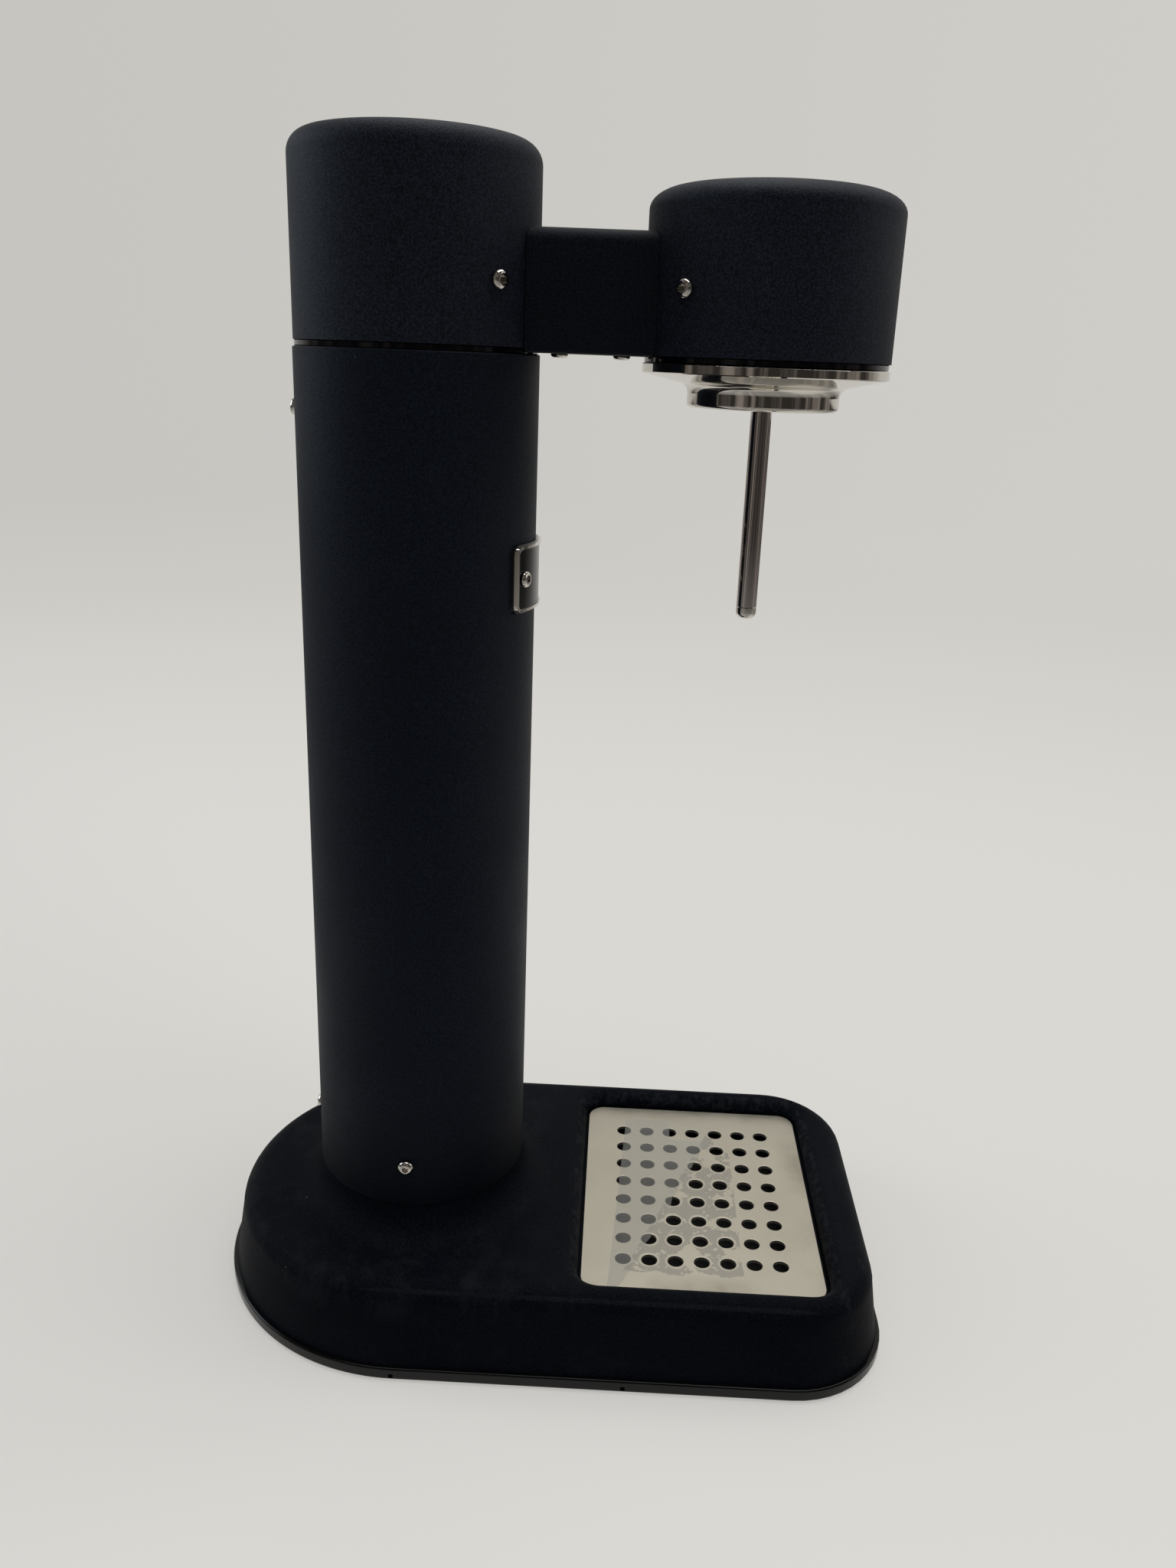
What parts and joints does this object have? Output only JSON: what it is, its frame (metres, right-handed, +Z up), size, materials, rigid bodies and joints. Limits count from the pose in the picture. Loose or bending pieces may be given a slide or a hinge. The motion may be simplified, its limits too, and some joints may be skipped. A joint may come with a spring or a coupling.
{
  "type": "sparkling water maker",
  "caption": "Counter-top sparkling water maker: round tower on a drip-tray base, an arm with a bottle head and nozzle, and a side lever that opens the gas cylinder's valve.",
  "frame": {"origin": "centre of the footprint, on the table", "axes": "+Z up, the drip tray faces -Y, the lever is on the +X side of the tower"},
  "size_m": [0.153, 0.258, 0.414],
  "materials": {
    "powder_black": "fine-grained matte powder coat",
    "gloss_black": "gloss",
    "polished_steel": "mirror polish",
    "dark_steel": "polished",
    "satin_steel": "satin",
    "brass": "turned",
    "inner_plastic": "moulded",
    "soft_rubber": "matt"
  },
  "bodies": {
    "body": {"base_shell": "powder_black", "base_plate": "gloss_black", "base_plate_screws": "satin_steel", "rubber_feet": "soft_rubber", "cylinder_guide": "inner_plastic", "drip_pan": "inner_plastic", "tower_sleeve": "satin_steel", "tower_tube": "powder_black", "tower_screws": "polished_steel", "badge_plate": "gloss_black", "badge_screws": "polished_steel", "seam_ring": "gloss_black", "tower_cap": "powder_black", "cap_screws": "polished_steel", "frame_skirt": "inner_plastic", "valve_frame": "inner_plastic", "valve_block": "brass", "valve_block_screws": "satin_steel", "cylinder_seal": "soft_rubber", "stem_seal": "soft_rubber", "plunger_spring": "satin_steel", "shaft_bushes": "inner_plastic", "lever_bush": "inner_plastic", "arm_cover": "powder_black", "arm_screws": "polished_steel", "arm_beam": "satin_steel", "beam_screws": "satin_steel", "valve_nipple": "brass", "gas_hose": "soft_rubber", "hose_ferrules": "brass", "inlet_elbow": "brass", "head_shell": "powder_black", "head_screws": "polished_steel", "head_ring": "gloss_black", "nozzle_manifold": "inner_plastic", "nozzle_hub": "inner_plastic", "collar_screws": "satin_steel", "bottle_collar": "polished_steel", "bottle_seal": "soft_rubber", "nozzle_tube": "dark_steel", "nozzle_tip": "polished_steel", "nozzle_nut": "satin_steel", "relief_body": "brass", "relief_spring": "satin_steel", "relief_cap": "brass"},
    "lever": {"lever": "polished_steel", "lever_screw": "polished_steel", "lever_shaft": "satin_steel", "cam_finger": "satin_steel", "cam_pin": "satin_steel", "shaft_clip": "satin_steel"},
    "plunger": {"plunger": "satin_steel"},
    "grille": {"drip_grille": "satin_steel"},
    "poppet": {"relief_poppet": "satin_steel"}
  },
  "joints": [
    {"name": "lever_pull", "type": "hinge", "parent": "body", "child": "lever", "pos_m": [0, 0.06331, 0.38245], "axis": [1, 0, 0], "range_deg": [0, 30], "stiffness_Nm_per_rad": 0.5, "springref_deg": -20.05},
    {"name": "plunger_press", "type": "slide", "parent": "body", "child": "plunger", "axis": [0, 0, -1], "range_m": [0, 0.0057], "deforming": ["plunger_spring"]},
    {"name": "grille_lift", "type": "slide", "parent": "body", "child": "grille", "axis": [0, 0, 1], "range_m": [0, 0.06]},
    {"name": "relief_lift", "type": "slide", "parent": "body", "child": "poppet", "axis": [0, 0, 1], "range_m": [0, 0.0015], "stiffness_N_per_m": 300, "springref_m": -0.004, "deforming": ["relief_spring"]}
  ],
  "couplings": [
    {"joint": "plunger_press", "follows": "lever_pull", "m_per_rad": 0.010875}
  ]
}
